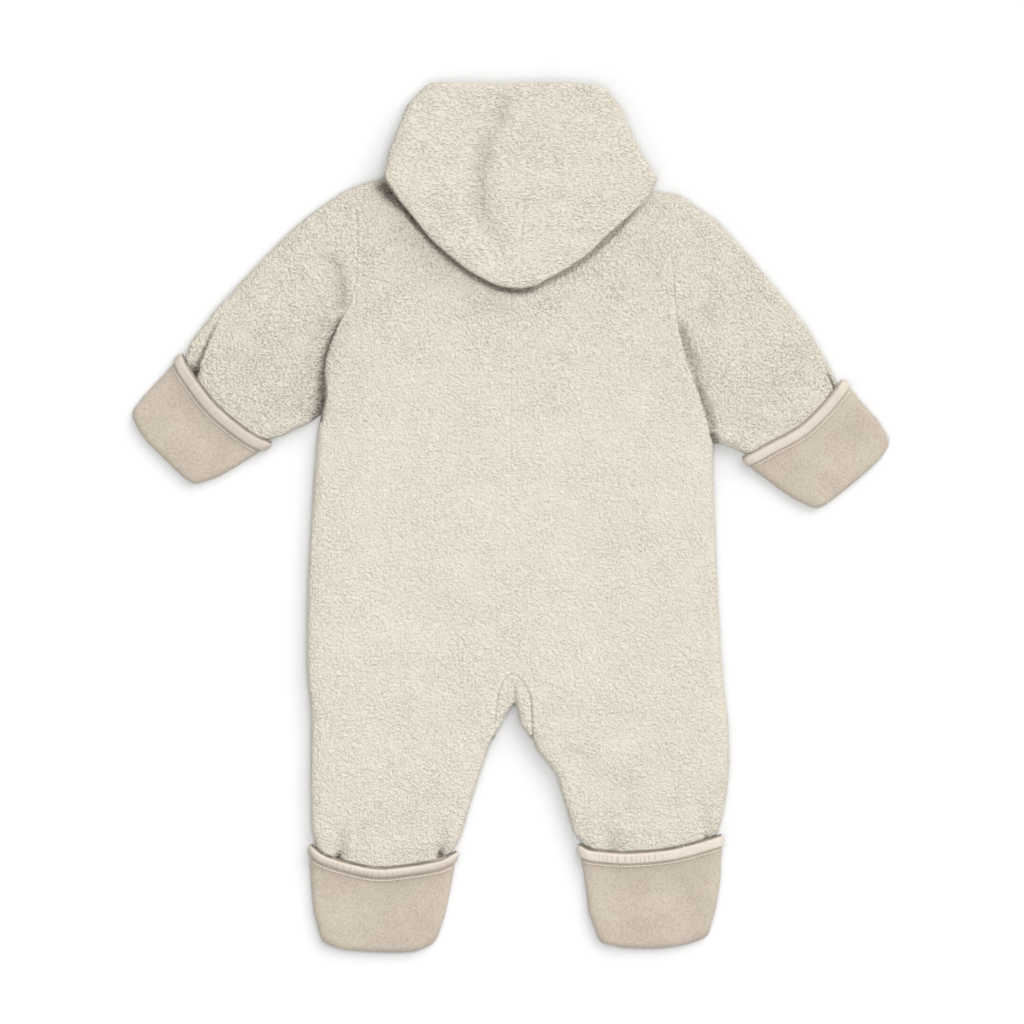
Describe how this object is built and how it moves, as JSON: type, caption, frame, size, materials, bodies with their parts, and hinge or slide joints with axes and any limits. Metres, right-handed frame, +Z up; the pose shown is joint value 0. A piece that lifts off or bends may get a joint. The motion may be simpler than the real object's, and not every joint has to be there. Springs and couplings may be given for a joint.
{
  "type": "baby's hooded fleece pramsuit, laid flat",
  "caption": "Baby's one-piece pramsuit of curly teddy fleece laid face down, hood flopped over the back, smooth fold-over covers on hands and feet.",
  "frame": {"origin": "bottom centre of the bounding box, on the surface the garment lies on", "axes": "+Y from the feet to the hood, +X to the right as seen from above with the hood up, +Z up from the surface"},
  "size_m": [0.5784, 0.6645, 0.0245],
  "materials": {
    "teddy_fleece": "cream sherpa fleece with a short curly pile, no gloss",
    "smooth_fleece": "beige smooth fleece with a fine felted nap",
    "binding": "lighter pinkish beige folded jersey binding, with a fine stitch line",
    "zip_tape": "woven zip tape, matt",
    "zip_metal": "satin grey metal"
  },
  "bodies": {
    "garment": {"back_left": "teddy_fleece", "back_right": "teddy_fleece", "crotch_gusset": "teddy_fleece", "foot_binding_left": "binding", "foot_binding_right": "binding", "foot_cover_left": "smooth_fleece", "foot_cover_right": "smooth_fleece", "front_left": "teddy_fleece", "front_right": "teddy_fleece", "hood_fold": "teddy_fleece", "hood_left": "teddy_fleece", "hood_neck": "teddy_fleece", "hood_right": "teddy_fleece", "mitt_binding_left": "binding", "mitt_binding_right": "binding", "mitt_cover_left": "smooth_fleece", "mitt_cover_right": "smooth_fleece", "sleeve_left": "teddy_fleece", "sleeve_right": "teddy_fleece", "zip_slider": "zip_metal", "zip_tape_left": "zip_tape", "zip_tape_right": "zip_tape"},
    "pull_tab": {"zip_pull_tab": "zip_metal"}
  },
  "joints": [
    {"name": "pull_tab_swing", "type": "hinge", "parent": "garment", "child": "pull_tab", "pos_m": [0, 0.186, 0.0015], "axis": [1, 0, 0], "range_deg": [0, 150]}
  ]
}
